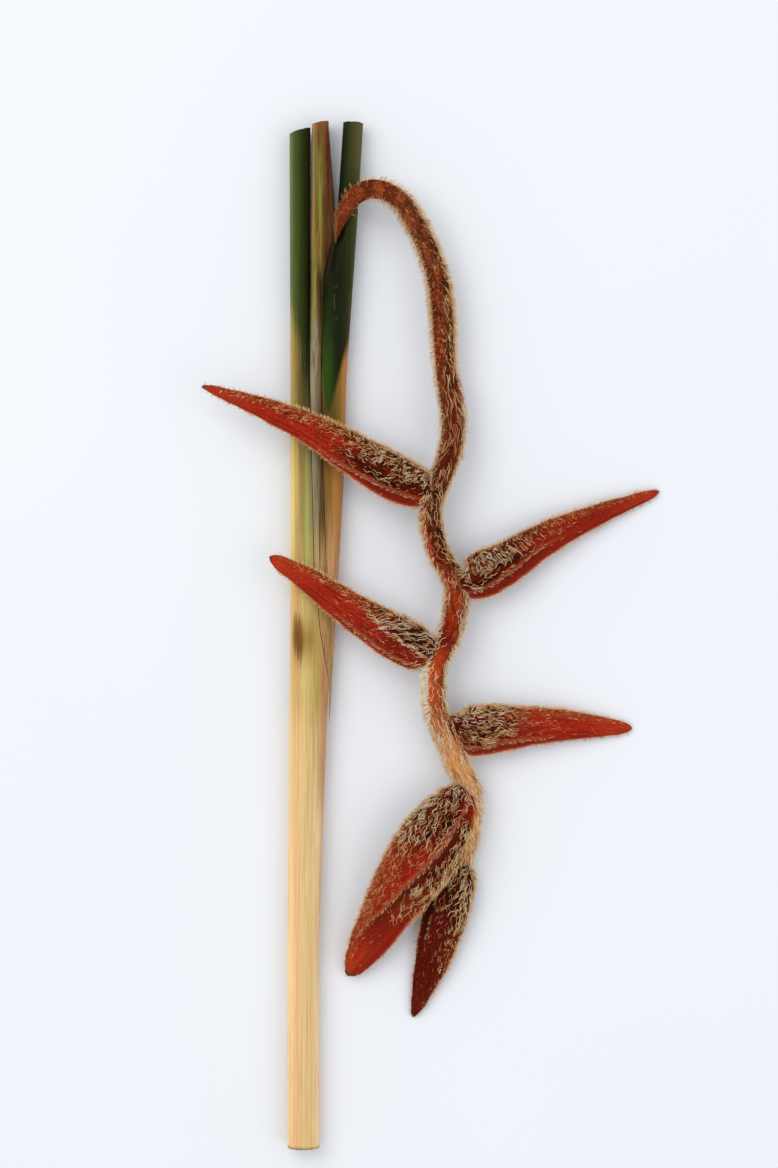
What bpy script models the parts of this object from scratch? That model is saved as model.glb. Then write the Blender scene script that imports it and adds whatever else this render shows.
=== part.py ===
"""One cut flowering stem of a hairy, hanging heliconia, lying on a flat surface.

The origin is in the middle of the ground the stem covers, on the surface.
+Y runs from the cut foot to the cut leaf stalks, +Z is up.
Lengths in the tables are in millimetres, measured from the middle of the cut foot.
"""

import math

import bmesh
import bpy
from mathutils import Vector

MM = 0.001
TOUCHING_GAP = 0.3

# The rolled leaf sheaths: distance from the foot, left side, right side, thickness.
BUNDLE = (
    (0, -16, 16, 30),
    (200, -16.5, 15.5, 30),
    (350, -15, 20.5, 31),
    (490, -13.5, 30, 32),
    (590, -13, 36, 33),
    (680, -13, 41, 34),
    (770, -13, 43, 34),
)
# The two seams on the front of the bundle: distance from the foot, place across it.
OUTER_SEAM = ((470, 25.5), (520, 17), (590, 11), (680, 9), (770, 7))
INNER_SEAM = ((520, 28.5), (590, 23), (680, 20), (770, 18))
# Above the bundle each leaf has a stalk: distance, left side, right side, thickness.
LEFT_STALK = ((870, -13.5, 7, 23), (928, -13.7, 7, 21), (1021, -14, 7, 20))
MIDDLE_STALK = ((870, 7.4, 20, 28), (928, 8, 33, 24), (1029, 8.6, 25, 18))
RIGHT_STALK = ((870, 20.6, 50, 29), (928, 33.4, 54, 24), (1029, 40, 60, 20))
STALK_CENTRE_HEIGHT = 17
# How far the cut at the top of each stalk climbs for each millimetre across it.
LEFT_CUT_SLOPE, MIDDLE_CUT_SLOPE, RIGHT_CUT_SLOPE = 0.3, 0.2, -0.05
POINTS_ON_EACH_FACE = 10
ROUNDED_EDGE = 0.006

# The flower stalk: across, along, height above the surface, radius.
FLOWER_STALK = (
    (34, 909, 25, 5),
    (39, 933, 36.5, 7.6),
    (52, 953, 43, 8.8),
    (69, 960, 44, 9),
    (86, 956, 43, 9),
    (101, 944, 42, 9),
    (114, 922, 40, 9.4),
    (126, 897, 37, 9.8),
    (135, 868, 34, 10),
    (139, 835, 32, 10.4),
    (141, 800, 31, 9.8),
    (142, 780, 31, 9.2),
    (147, 752, 32, 11),
    (150, 720, 34, 11.4),
    (143, 686, 38, 10.4),
    (131, 656, 40, 10.6),
    (127, 638, 38, 10.4),
    (130, 614, 35, 10.4),
    (139, 590, 32, 10.4),
    (154, 566, 30, 11),
    (152, 541, 31, 11.4),
    (147, 516, 35, 11.4),
    (132, 487, 39, 10.8),
    (131, 460, 37, 10.6),
    (133, 437, 34, 10.6),
    (144, 412, 30, 11),
    (153, 388, 27, 11),
    (166, 361, 24, 10.6),
    (168, 340, 20, 9.4),
    (166, 312, 16, 8.4),
    (160, 282, 14, 7),
)
STALK_STEPS_PER_POINT = 2
STALK_ROUNDNESS = 4

# The bracts hang from the bends of the flower stalk. The spine runs from base to tip.
# keel is +1 where the ridge is on the upper side of the spine and -1 where it is below.
BRACTS = {
    "bract_1": {
        "spine": (
            (130, 655, 41), (92, 671, 48), (48, 696, 51),
            (6, 721, 51), (-48, 744, 50), (-101, 763, 48),
        ),
        "width": 46, "tip": 5.5, "thick": 27, "base": 0.62, "belly": 0.2, "fullness": 1.35, "keel": 1,
    },
    "bract_2": {
        "spine": (
            (155, 569, 30), (180, 575, 28), (206, 588, 24),
            (246, 613, 17), (297, 636, 9.5), (357, 659, 3),
        ),
        "width": 47, "tip": 8, "thick": 27, "base": 0.6, "belly": 0.22, "fullness": 1.3, "keel": -1,
    },
    "bract_3": {
        "spine": (
            (131, 490, 40), (106, 505, 45), (74, 523, 48),
            (38, 547, 49), (2, 572, 48), (-31, 592, 47),
        ),
        "width": 46, "tip": 12, "thick": 26, "base": 0.6, "belly": 0.24, "fullness": 1.2, "keel": 1,
    },
    "bract_4": {
        "spine": (
            (143, 420, 30), (170, 419, 28), (204, 421, 22),
            (246, 424, 14.5), (290, 422.5, 7.5), (328.5, 420.5, 3),
        ),
        "width": 51, "tip": 11, "thick": 27, "base": 0.58, "belly": 0.22, "fullness": 1.2, "keel": -1,
    },
    "bract_5": {
        "spine": (
            (165, 362, 27), (143, 328, 37), (119, 294, 40),
            (94, 255, 36), (70, 213, 24), (46.5, 174, 9),
        ),
        "width": 68, "tip": 13, "thick": 30, "base": 0.42, "belly": 0.34, "fullness": 1.7, "keel": -1,
    },
    "bract_6": {
        "spine": (
            (160, 288, 14), (149, 256, 14), (139, 222, 13),
            (130, 190, 10), (120, 158, 6), (110, 130, 3),
        ),
        "width": 44, "tip": 5.5, "thick": 23, "base": 0.6, "belly": 0.32, "fullness": 1.6, "keel": 1,
    },
}
TIP_THICKNESS = 5.5
KEEL_FULLNESS = 0.2
BRACT_STEPS_PER_POINT = 3
BRACT_SIDES = 16

# Colour and roughness of each kind of surface.
SHEATH_CREAM = ((0.63, 0.47, 0.22, 1.0), 0.45)
STALK_GREEN = ((0.07, 0.1, 0.03, 1.0), 0.4)
STALK_OLIVE = ((0.24, 0.19, 0.07, 1.0), 0.5)
HAIRY_TAN = ((0.3, 0.12, 0.05, 1.0), 0.9)
BRACT_RED = ((0.4, 0.045, 0.02, 1.0), 0.75)


def clear_scene():
    for obj in list(bpy.data.objects):
        bpy.data.objects.remove(obj, do_unlink=True)


def new_collection(name, hidden=False):
    collection = bpy.data.collections.new(name)
    collection.hide_render = hidden
    bpy.context.scene.collection.children.link(collection)
    return collection


def plain_material(name, look):
    colour, roughness = look
    material = bpy.data.materials.new(name)
    material.use_nodes = True
    shader = material.node_tree.nodes["Principled BSDF"]
    shader.inputs["Base Color"].default_value = colour
    shader.inputs["Roughness"].default_value = roughness
    shader.inputs["Metallic"].default_value = 0.0
    return material


def value_at(table, along, column=1):
    """The value of one column of a table at a distance along the bundle."""
    for below, above in zip(table, table[1:]):
        if along <= above[0]:
            share = (along - below[0]) / (above[0] - below[0])
            return below[column] + share * (above[column] - below[column])
    return table[-1][column]


def smooth_path(points, steps):
    """Catmull-Rom points through rows of numbers, a fixed count of steps from each to the next."""
    rows = [Vector(row) for row in points]
    rows = [2 * rows[0] - rows[1]] + rows + [2 * rows[-1] - rows[-2]]
    path = []
    for before, start, end, after in zip(rows, rows[1:], rows[2:], rows[3:]):
        for step in range(steps):
            t = step / steps
            slope_in = (end - before) / 2
            slope_out = (after - start) / 2
            a = 2 * start - 2 * end + slope_in + slope_out
            b = 3 * end - 3 * start - 2 * slope_in - slope_out
            path.append(((a * t + b) * t + slope_in) * t + start)
    path.append(rows[-2])
    return path


def loft(name, rings, collection, material):
    """A closed body through rings of points, with a flat face at each end."""
    shape = bmesh.new()
    loops = [[shape.verts.new(point * MM) for point in ring] for ring in rings]
    for ring, following in zip(loops, loops[1:]):
        for i, corner in enumerate(ring):
            j = (i + 1) % len(ring)
            shape.faces.new((corner, ring[j], following[j], following[i]))
    shape.faces.new(loops[0])
    shape.faces.new(loops[-1])
    bmesh.ops.recalc_face_normals(shape, faces=shape.faces)
    mesh = bpy.data.meshes.new(name)
    shape.to_mesh(mesh)
    shape.free()
    mesh.shade_smooth()
    mesh.set_sharp_from_angle(angle=math.radians(50))
    mesh.materials.append(material)
    obj = bpy.data.objects.new(name, mesh)
    collection.objects.link(obj)
    return obj


def oval_slice(along, strip, oval, thick, centre_height, cut_slope=0.0):
    """The part of an oval section between the two sides of a strip, front face first."""
    middle = (oval[0] + oval[1]) / 2
    half = (oval[1] - oval[0]) / 2
    first = math.acos(min(1.0, (strip[1] - middle) / half))
    last = math.acos(max(-1.0, (strip[0] - middle) / half))
    ring = []
    for face in (1, -1):
        for i in range(POINTS_ON_EACH_FACE):
            share = ROUNDED_EDGE + (1 - 2 * ROUNDED_EDGE) * i / (POINTS_ON_EACH_FACE - 1)
            if face < 0:
                share = 1 - share
            turn = first + share * (last - first)
            across = middle + half * math.cos(turn)
            height = centre_height + face * thick / 2 * math.sin(turn)
            ring.append(Vector((across, along + cut_slope * (across - middle), height)))
    return ring


def seam_side(seam, along, gap):
    """The side of a strip that a seam bounds, or None below the seam's lower end."""
    if along < seam[0][0]:
        return None
    return value_at(seam, along) + gap


def bundle_slice(along, left, right):
    """A strip of the rolled bundle, which lies on the surface. None means the bundle's own side."""
    oval = (value_at(BUNDLE, along, 1), value_at(BUNDLE, along, 2))
    thick = value_at(BUNDLE, along, 3)
    strip = (oval[0] if left is None else left, oval[1] if right is None else right)
    return oval_slice(along, strip, oval, thick, thick / 2)


def bundle_stations(lowest):
    """Distances from the foot that the leaves share, so that their seams meet all the way."""
    tables = (BUNDLE, OUTER_SEAM, INNER_SEAM)
    return sorted({row[0] for table in tables for row in table if row[0] >= lowest})


def stalk_rings(stalk, cut_slope):
    rings = []
    for row in stalk:
        along, left, right, thick = row
        slope = cut_slope if row is stalk[-1] else 0.0
        sides = (left, right)
        rings.append(oval_slice(along, sides, sides, thick, STALK_CENTRE_HEIGHT, slope))
    return rings


def make_left_leaf(collection):
    """The outermost leaf: its sheath closes round the whole bundle below the outer seam."""
    rings = []
    for along in bundle_stations(0):
        rings.append(bundle_slice(along, None, seam_side(OUTER_SEAM, along, -TOUCHING_GAP / 2)))
    rings += stalk_rings(LEFT_STALK, LEFT_CUT_SLOPE)
    material = plain_material("outer_sheath", SHEATH_CREAM)
    return loft("left_leaf_sheath_and_stalk", rings, collection, material)


def make_middle_leaf(collection):
    """The innermost leaf, which the flower stalk comes out of."""
    rings = []
    for along in bundle_stations(OUTER_SEAM[0][0]):
        left = seam_side(OUTER_SEAM, along, TOUCHING_GAP / 2)
        right = seam_side(INNER_SEAM, along, -TOUCHING_GAP / 2)
        rings.append(bundle_slice(along, left, right))
    rings += stalk_rings(MIDDLE_STALK, MIDDLE_CUT_SLOPE)
    material = plain_material("middle_stalk", STALK_OLIVE)
    return loft("middle_leaf_sheath_and_stalk", rings, collection, material)


def make_right_leaf(collection):
    rings = []
    for along in bundle_stations(INNER_SEAM[0][0]):
        rings.append(bundle_slice(along, seam_side(INNER_SEAM, along, TOUCHING_GAP / 2), None))
    rings += stalk_rings(RIGHT_STALK, RIGHT_CUT_SLOPE)
    material = plain_material("right_stalk", STALK_GREEN)
    return loft("right_leaf_sheath_and_stalk", rings, collection, material)


def flower_stalk_curve(name, extra):
    """The arched and zigzag stalk as a tube. extra makes it wider and longer, to cut its seats."""
    curve = bpy.data.curves.new(name, "CURVE")
    curve.dimensions = "3D"
    curve.bevel_depth = MM
    curve.bevel_resolution = STALK_ROUNDNESS
    curve.use_fill_caps = True
    path = smooth_path(FLOWER_STALK, STALK_STEPS_PER_POINT)
    path[0].xyz += (path[0] - path[1]).xyz.normalized() * extra
    path[-1].xyz += (path[-1] - path[-2]).xyz.normalized() * extra
    spline = curve.splines.new("POLY")
    spline.points.add(len(path) - 1)
    for point, row in zip(spline.points, path):
        point.co = (row[0] * MM, row[1] * MM, row[2] * MM, 1.0)
        point.radius = row[3] + extra
    return bpy.data.objects.new(name, curve)


def make_flower_stalk(collection):
    obj = flower_stalk_curve("flower_stalk", 0.0)
    obj.data.materials.append(plain_material("flower_stalk", HAIRY_TAN))
    collection.objects.link(obj)
    return obj


def make_seat_cutter(collection):
    """A welded mesh of the flower stalk, a gap wider all round."""
    tube = flower_stalk_curve("seat_tube", TOUCHING_GAP)
    collection.objects.link(tube)
    bpy.context.view_layer.update()
    evaluated = tube.evaluated_get(bpy.context.evaluated_depsgraph_get())
    mesh = bpy.data.meshes.new_from_object(evaluated)
    weld = bmesh.new()
    weld.from_mesh(mesh)
    bmesh.ops.remove_doubles(weld, verts=weld.verts, dist=0.01 * MM)
    bmesh.ops.recalc_face_normals(weld, faces=weld.faces)
    weld.to_mesh(mesh)
    weld.free()
    cutter = bpy.data.objects.new("seat_cutter", mesh)
    cutter.matrix_world = tube.matrix_world
    cutter.display_type = "WIRE"
    cutter.hide_render = True
    bpy.data.objects.remove(tube, do_unlink=True)
    collection.objects.link(cutter)
    return cutter


def seat_on_stalk(obj, cutter):
    """Cuts the seat that clasps the flower stalk."""
    cut = obj.modifiers.new("seat", "BOOLEAN")
    cut.operation = "DIFFERENCE"
    cut.object = cutter
    cut.solver = "EXACT"


def bract_width(share, bract):
    """Width from back to lips at a share of the length: quickly full, then a long taper."""
    belly = bract["belly"]
    if share < belly:
        rise = math.sin(math.pi / 2 * share / belly)
        return bract["width"] * (bract["base"] + (1 - bract["base"]) * rise)
    taper = ((share - belly) / (1 - belly)) ** bract["fullness"]
    return bract["width"] + (bract["tip"] - bract["width"]) * taper


def bract_thickness(share, bract):
    """Thickness: as thick at the clasping base as at the belly, then a taper like the width's."""
    width = bract_width(max(share, bract["belly"]), bract)
    fullness = (width - bract["tip"]) / (bract["width"] - bract["tip"])
    return TIP_THICKNESS + (bract["thick"] - TIP_THICKNESS) * fullness


def bract_ring(centre, ahead, width, thick, keel):
    """An egg-shaped section, fuller on the keel side, square to the spine."""
    across = ahead.cross(Vector((0, 0, 1))).normalized() * keel
    up = across.cross(ahead).normalized() * keel
    ring = []
    for i in range(BRACT_SIDES):
        turn = 2 * math.pi * i / BRACT_SIDES
        bulge = 1 + KEEL_FULLNESS * math.cos(turn)
        side = across * (width / 2 * math.cos(turn))
        rise = up * (thick / 2 * bulge * math.sin(turn))
        ring.append(centre + side + rise)
    return ring


def make_bract(name, bract, collection, material):
    path = smooth_path(bract["spine"], BRACT_STEPS_PER_POINT)
    rings = []
    for i, centre in enumerate(path):
        ahead = (path[min(i + 1, len(path) - 1)] - path[max(i - 1, 0)]).normalized()
        share = i / (len(path) - 1)
        width = bract_width(share, bract)
        thick = bract_thickness(share, bract)
        rings.append(bract_ring(centre, ahead, width, thick, bract["keel"]))
    point = path[-1] + ahead * width / 4
    rings.append(bract_ring(point, ahead, width / 2, thick / 2, bract["keel"]))
    return loft(name, rings, collection, material)


def centre_on_ground(pieces):
    """Parents every piece to one empty, moved so the origin is in the middle of the ground covered."""
    bpy.context.view_layer.update()
    depsgraph = bpy.context.evaluated_depsgraph_get()
    corners = []
    for piece in pieces:
        mesh = piece.evaluated_get(depsgraph).to_mesh()
        corners += [vertex.co.copy() for vertex in mesh.vertices]
    low = [min(corner[axis] for corner in corners) for axis in range(3)]
    high = [max(corner[axis] for corner in corners) for axis in range(3)]
    middle = Vector(((low[0] + high[0]) / 2, (low[1] + high[1]) / 2, low[2]))
    holder = bpy.data.objects.new("heliconia", None)
    bpy.context.scene.collection.objects.link(holder)
    holder.location = -middle
    for piece in pieces:
        piece.parent = holder
    return holder


def main():
    clear_scene()
    parts = new_collection("heliconia_flower")
    cutters = new_collection("cutters", hidden=True)
    cutter = make_seat_cutter(cutters)
    leaves = [make_left_leaf(parts), make_middle_leaf(parts), make_right_leaf(parts)]
    stalk = make_flower_stalk(parts)
    red = plain_material("bract", BRACT_RED)
    bracts = [make_bract(name, bract, parts, red) for name, bract in BRACTS.items()]
    for piece in leaves[1:] + bracts:
        seat_on_stalk(piece, cutter)
    holder = centre_on_ground(leaves + [stalk] + bracts)
    cutter.parent = holder


main()
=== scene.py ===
"""Looks of a cut stem of hairy hanging heliconia lying on a pale table.

The leaf sheaths, the flower stalk and the bracts are fine skins laid over the frame's solids.
Wool and down are thousands of tapered hairs grown from those skins.
"""

import math
from collections import namedtuple
from functools import partial

import bpy
import numpy as np
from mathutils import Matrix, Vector
from mathutils.bvhtree import BVHTree
from mathutils.kdtree import KDTree


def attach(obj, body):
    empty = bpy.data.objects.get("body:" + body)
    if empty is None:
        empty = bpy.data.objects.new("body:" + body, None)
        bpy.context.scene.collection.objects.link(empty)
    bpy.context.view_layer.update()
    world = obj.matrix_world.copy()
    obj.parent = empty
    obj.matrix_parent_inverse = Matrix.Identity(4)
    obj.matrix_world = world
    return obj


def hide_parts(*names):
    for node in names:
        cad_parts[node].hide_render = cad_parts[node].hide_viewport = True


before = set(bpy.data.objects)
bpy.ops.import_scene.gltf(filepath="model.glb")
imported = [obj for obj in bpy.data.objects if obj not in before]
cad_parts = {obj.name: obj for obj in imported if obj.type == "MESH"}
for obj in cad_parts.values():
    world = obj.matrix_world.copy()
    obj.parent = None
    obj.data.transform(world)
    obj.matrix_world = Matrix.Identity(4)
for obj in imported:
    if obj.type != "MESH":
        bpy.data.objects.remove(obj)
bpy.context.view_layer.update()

MM = 0.001
UP = np.array((0.0, 0.0, 1.0))
SEED = 7

LEFT_LEAF = "left_leaf_sheath_and_stalk"
MIDDLE_LEAF = "middle_leaf_sheath_and_stalk"
RIGHT_LEAF = "right_leaf_sheath_and_stalk"
STALK = "flower_stalk"

# ---------------------------------------------------------------- numbers and vectors


def unit(vectors):
    lengths = np.linalg.norm(vectors, axis=-1, keepdims=True)
    return vectors / np.maximum(lengths, 1e-12)


def ease(values, start, end):
    """0 before start, 1 after end, smooth between. start may lie after end."""
    t = np.clip((np.asarray(values, float) - start) / (end - start), 0, 1)
    return t * t * (3 - 2 * t)


def fade(values, start, end):
    """1 before start, 0 after end, smooth between."""
    return 1 - ease(values, start, end)


def between(values, start, full, fading, end):
    """0 before start, 1 from full to fading, and 0 again after end, smooth between."""
    return ease(values, start, full) * fade(values, fading, end)


def close_to(values, place, width):
    """1 at place, falling away to both sides over about the width."""
    return np.exp(-(((values - place) / width) ** 2))


def along_table(table, values):
    """Values read off a short table of (place, amount) rows."""
    places, amounts = zip(*table)
    return np.interp(values, places, amounts)


def ripple(points, size, seed):
    """A smooth wandering value from -1 to 1 over places in space, size metres from swell to swell."""
    rng = np.random.default_rng(seed)
    total = np.zeros(points.shape[:-1])
    for octave in range(5):
        wave = unit(rng.normal(size=3)) * 2 * math.pi / (size * rng.uniform(0.7, 1.5))
        bend = unit(rng.normal(size=3)) * 2 * math.pi / (size * rng.uniform(1.2, 2.4))
        total += np.sin(points @ wave + rng.uniform(0, 6) + 1.4 * np.sin(points @ bend + octave))
    # Five such waves seldom add up to more than this.
    return total / 3.2


# ---------------------------------------------------------------- paint


def tone(red, green, blue):
    """A display colour, 0 to 255, as the linear colour that the shaders take."""
    linear = []
    for part in (red, green, blue):
        part /= 255
        linear.append(part / 12.92 if part < 0.04045 else ((part + 0.055) / 1.055) ** 2.4)
    return (*linear, 1.0)


def lay_stops(ramp, stops):
    """Sets a colour ramp's stops, given as (share, colour) rows from 0 to 1."""
    for share, _ in stops[1:-1]:
        ramp.elements.new(share)
    for element, (share, colour) in zip(ramp.elements, stops):
        element.position, element.color = share, colour


class Value:
    """A number in a node tree, which Python's operators work on."""

    def __init__(self, nodes, socket):
        self.nodes = nodes
        self.socket = socket

    def __add__(self, other):
        return self.nodes.maths("ADD", self, other)

    def __sub__(self, other):
        return self.nodes.maths("SUBTRACT", self, other)

    def __rsub__(self, other):
        return self.nodes.maths("SUBTRACT", other, self)

    def __mul__(self, other):
        return self.nodes.maths("MULTIPLY", self, other)

    def __truediv__(self, other):
        return self.nodes.maths("DIVIDE", self, other)

    __radd__ = __add__
    __rmul__ = __mul__

    def ease(self, start, end, low=0.0, high=1.0):
        """low before start, high after end, smooth between."""
        sockets = {"Value": self, "From Min": start, "From Max": end, "To Min": low, "To Max": high}
        return self.nodes.node("ShaderNodeMapRange", {"interpolation_type": "SMOOTHSTEP"}, sockets)

    def band(self, start, end, soft):
        """1 between start and end, fading to 0 over a soft edge."""
        return self.ease(start - soft, start + soft) * (1 - self.ease(end - soft, end + soft))

    def ramp(self, stops):
        """A colour that changes with the number through (number, red, green, blue) stops."""
        first, last = stops[0][0], stops[-1][0]
        shares = [((place - first) / (last - first), tone(*colour)) for place, *colour in stops]
        share = (self - first) / (last - first)
        return self.nodes.node("ShaderNodeValToRGB", {"stops": shares}, {"Fac": share})

    def turn(self, start, end, low, high):
        """A colour that turns from one tone to another as the number goes from start to end."""
        return self.nodes.mix(self.ease(start, end), tone(*low), tone(*high))


class Nodes:
    """A node tree under construction."""

    def __init__(self, tree):
        self.tree = tree

    def node(self, kind, settings=None, inputs=None, output=0):
        """Adds a node: its settings first, then the values or links of its sockets."""
        made = self.tree.nodes.new(kind)
        for name, setting in (settings or {}).items():
            if name == "stops":
                lay_stops(made.color_ramp, setting)
            else:
                setattr(made, name, setting)
        for name, value in (inputs or {}).items():
            self.feed(made.inputs[name], value)
        return Value(self, made.outputs[output])

    def feed(self, socket, value):
        if isinstance(value, Value):
            self.tree.links.new(value.socket, socket)
        else:
            socket.default_value = value

    def maths(self, operation, first, second):
        return self.node("ShaderNodeMath", {"operation": operation}, {0: first, 1: second})

    def mix(self, share, below, above, blend="MIX"):
        settings = {"data_type": "RGBA", "blend_type": blend}
        return self.node("ShaderNodeMix", settings, {0: share, 6: below, 7: above}, output=2)


class Paint(Nodes):
    """A material under construction: one Principled shader, and the colour laid on so far."""

    def __init__(self, name, roughness=0.5, gloss=0.1):
        self.material = bpy.data.materials.new(name)
        self.material.use_nodes = True
        super().__init__(self.material.node_tree)
        self.shader = self.tree.nodes["Principled BSDF"]
        self.feed(self.shader.inputs["Roughness"], roughness)
        self.feed(self.shader.inputs["Specular IOR Level"], gloss)
        self.colour = None

    def parts(self, spot, count):
        """The first two or all three numbers of a place."""
        split = self.node("ShaderNodeSeparateXYZ", inputs={0: spot}).socket.node
        return [Value(self, socket) for socket in split.outputs[:count]]

    def place(self):
        """The place on the object in millimetres, as three numbers."""
        return [part * 1000 for part in self.parts(self.node("ShaderNodeTexCoord", output="Object"), 3)]

    def lie(self):
        """Along and around a skin, each from 0 to 1."""
        return self.parts(self.node("ShaderNodeUVMap", {"uv_map": "lie"}), 2)

    def painted(self, name):
        """A number that the skin carries at each point."""
        return self.node("ShaderNodeAttribute", {"attribute_name": name}, output="Fac")

    def spot(self, x, y, z=0.0):
        return self.node("ShaderNodeCombineXYZ", inputs={0: x, 1: y, 2: z})

    def noise(self, places, swells, detail=3.0, roughness=0.6):
        """Noise over two or three numbers, with so many swells to the unit along each."""
        spot = self.spot(*(place * swell for place, swell in zip(places, swells)))
        sockets = {"Vector": spot, "Scale": 1.0, "Detail": detail, "Roughness": roughness}
        return self.node("ShaderNodeTexNoise", inputs=sockets)

    def lay(self, share, *over):
        """Lays a colour, or a tone of three numbers, over the colour so far, by share."""
        colour = over[0] if len(over) == 1 else tone(*over)
        self.colour = self.mix(share, self.colour, colour)

    def dye(self, share, *factors):
        """Multiplies the colour so far by red, green and blue factors, by share."""
        self.colour = self.mix(share, self.colour, (*factors, 1), "MULTIPLY")

    def finish(self, height=None, depth=0.0, roughness=None):
        """Feeds the shader its colour, a bump depth millimetres deep and a roughness."""
        self.feed(self.shader.inputs["Base Color"], self.colour)
        if roughness is not None:
            self.feed(self.shader.inputs["Roughness"], roughness)
        if height is not None:
            sockets = {"Height": height, "Distance": depth * MM, "Strength": 1.0}
            self.feed(self.shader.inputs["Normal"], self.node("ShaderNodeBump", inputs=sockets))
        return self.material


# ---------------------------------------------------------------- reading the frame


def node_shape(name):
    """The points and edges of a frame node."""
    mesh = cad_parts[name].data
    points = np.zeros(len(mesh.vertices) * 3)
    mesh.vertices.foreach_get("co", points)
    edges = np.zeros(len(mesh.edges) * 2, int)
    mesh.edges.foreach_get("vertices", edges)
    return points.reshape(-1, 3), edges.reshape(-1, 2)


def cut_points(points, edges, spot, ahead):
    """Where the edges of a solid cross the plane through spot, square to ahead."""
    side = (points - spot) @ ahead
    first, second = side[edges[:, 0]], side[edges[:, 1]]
    crossing = first * second < 0
    share = (first / np.where(crossing, first - second, 1))[crossing, None]
    return points[edges[crossing, 0]] * (1 - share) + points[edges[crossing, 1]] * share


WALK_STEP = 3 * MM
# A walk ends after so many steps, or past the solid, where fewer edges than this are cut.
MOST_STEPS, FEWEST_CUTS = 600, 8


def follow(name, start, ahead, reach, turning=1.0):
    """Walks along a slim solid. Gives the middle, half width and half thickness of each section.

    Only edges cut within reach count. turning says how far the walk may turn, 1 for right round.
    """
    points, edges = node_shape(name)
    walk = []
    spot, first = np.array(start), np.array(ahead)
    while len(walk) < MOST_STEPS and ahead @ first > 1 - 2 * turning:
        cut = cut_points(points, edges, spot, ahead)
        cut = cut[np.linalg.norm(cut - spot, axis=1) < reach]
        if len(cut) < FEWEST_CUTS:
            break
        across = unit(np.cross(ahead, UP))
        up = np.cross(across, ahead)
        u, v = (cut - spot) @ across, (cut - spot) @ up
        middle = spot + across * (u.max() + u.min()) / 2 + up * (v.max() + v.min()) / 2
        if walk:
            ahead = unit(0.75 * ahead + 0.25 * unit(middle - walk[-1][0]))
        walk.append((middle, (u.max() - u.min()) / 2, (v.max() - v.min()) / 2))
        spot = middle + ahead * WALK_STEP
    return [np.array(column) for column in zip(*walk)]


def resample(middles, values, count):
    """Even steps along a walked line, with the values that go with each step."""
    gaps = np.linalg.norm(np.diff(middles, axis=0), axis=1)
    run = np.concatenate(([0], np.cumsum(gaps)))
    even = np.linspace(0, run[-1], count)
    line = np.stack([np.interp(even, run, middles[:, axis]) for axis in range(3)], 1)
    return line, [np.interp(even, run, value) for value in values]


def soften(rows, rounds):
    """Evens out small kinks along a line, with its ends kept."""
    rows = rows.copy()
    for _ in range(rounds):
        rows[1:-1] = (rows[:-2] + 2 * rows[1:-1] + rows[2:]) / 4
    return rows


# ---------------------------------------------------------------- skins


def rings_round(line, across, up, wide, high):
    """Rings of points round a line: how wide of it each point lies, and how high over it."""
    return line[:, None] + across[:, None] * wide[..., None] + up[:, None] * high[..., None]


class Skin:
    """A closed surface laid out in rings of points, from one end to the other."""

    def __init__(self, rings):
        self.rings = rings
        self.along = unit(np.gradient(rings, axis=0))
        self.around = unit(np.roll(rings, -1, 1) - np.roll(rings, 1, 1))
        self.normal = unit(np.cross(self.around, self.along))
        outward = rings - rings.mean(axis=1, keepdims=True)
        if (self.normal * outward).sum() < 0:
            self.normal = -self.normal
        self.across = self.around

    def at(self, row, column):
        """Place, and the directions outward, along and across, at fractional rows and columns."""
        m, n = self.rings.shape[:2]
        i = np.clip(np.floor(row).astype(int), 0, m - 2)
        j = np.floor(column).astype(int) % n
        a, b = (row - i)[:, None], (column - np.floor(column))[:, None]
        following = (j + 1) % n
        found = []
        for grid in (self.rings, self.normal, self.along, self.across):
            near = grid[i, j] * (1 - b) + grid[i, following] * b
            far = grid[i + 1, j] * (1 - b) + grid[i + 1, following] * b
            found.append(near * (1 - a) + far * a)
        return found[0], *(unit(direction) for direction in found[1:])

    def cell_areas(self):
        """The area of each cell in square millimetres."""
        ahead = np.diff(self.rings, axis=0)
        beside = np.roll(self.rings, -1, 1) - self.rings
        return np.linalg.norm(np.cross(ahead, beside[:-1]), axis=2) / MM**2


def skin_object(name, skin, material, stands_for=(), carried=None):
    """A mesh of quads over the rings, closed at both ends, with its lie and carried numbers."""
    m, n = skin.rings.shape[:2]
    i, j = np.meshgrid(np.arange(m - 1), np.arange(n), indexing="ij")
    beside = (j + 1) % n
    quads = np.stack([i * n + j, i * n + beside, (i + 1) * n + beside, (i + 1) * n + j], -1)
    quads = quads.reshape(-1, 4)
    inward = np.einsum("ij,ij->", np.cross(skin.around[0], skin.along[0]), skin.normal[0]) < 0
    if inward:
        quads = quads[:, ::-1]
    caps = [list(range(n)), list(range((m - 1) * n, m * n))]
    caps[1 if inward else 0].reverse()
    mesh = add_piece(name, skin.rings.reshape(-1, 3), quads.tolist() + caps, material, stands_for)
    lay_uv(mesh, m, n)
    for label, numbers in (carried or {}).items():
        layer = mesh.attributes.new(label, "FLOAT", "POINT")
        layer.data.foreach_set("value", np.broadcast_to(numbers, (m, n)).astype(np.float32).ravel())


def lay_uv(mesh, m, n):
    """UV: along the skin and around it, with the last column meeting the first."""
    layer = mesh.uv_layers.new(name="lie")
    corners = np.zeros(len(mesh.loops), int)
    mesh.loops.foreach_get("vertex_index", corners)
    along, around = corners // n / (m - 1), corners % n / n
    quads = around[: 4 * (m - 1) * n].reshape(-1, 4)
    wraps = quads.max(axis=1) - quads.min(axis=1) > 0.5
    quads[wraps] = np.where(quads[wraps] < 0.5, quads[wraps] + 1, quads[wraps])
    around[: 4 * (m - 1) * n] = quads.ravel()
    layer.data.foreach_set("uv", np.stack([along, around], 1).astype(np.float32).ravel())


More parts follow.
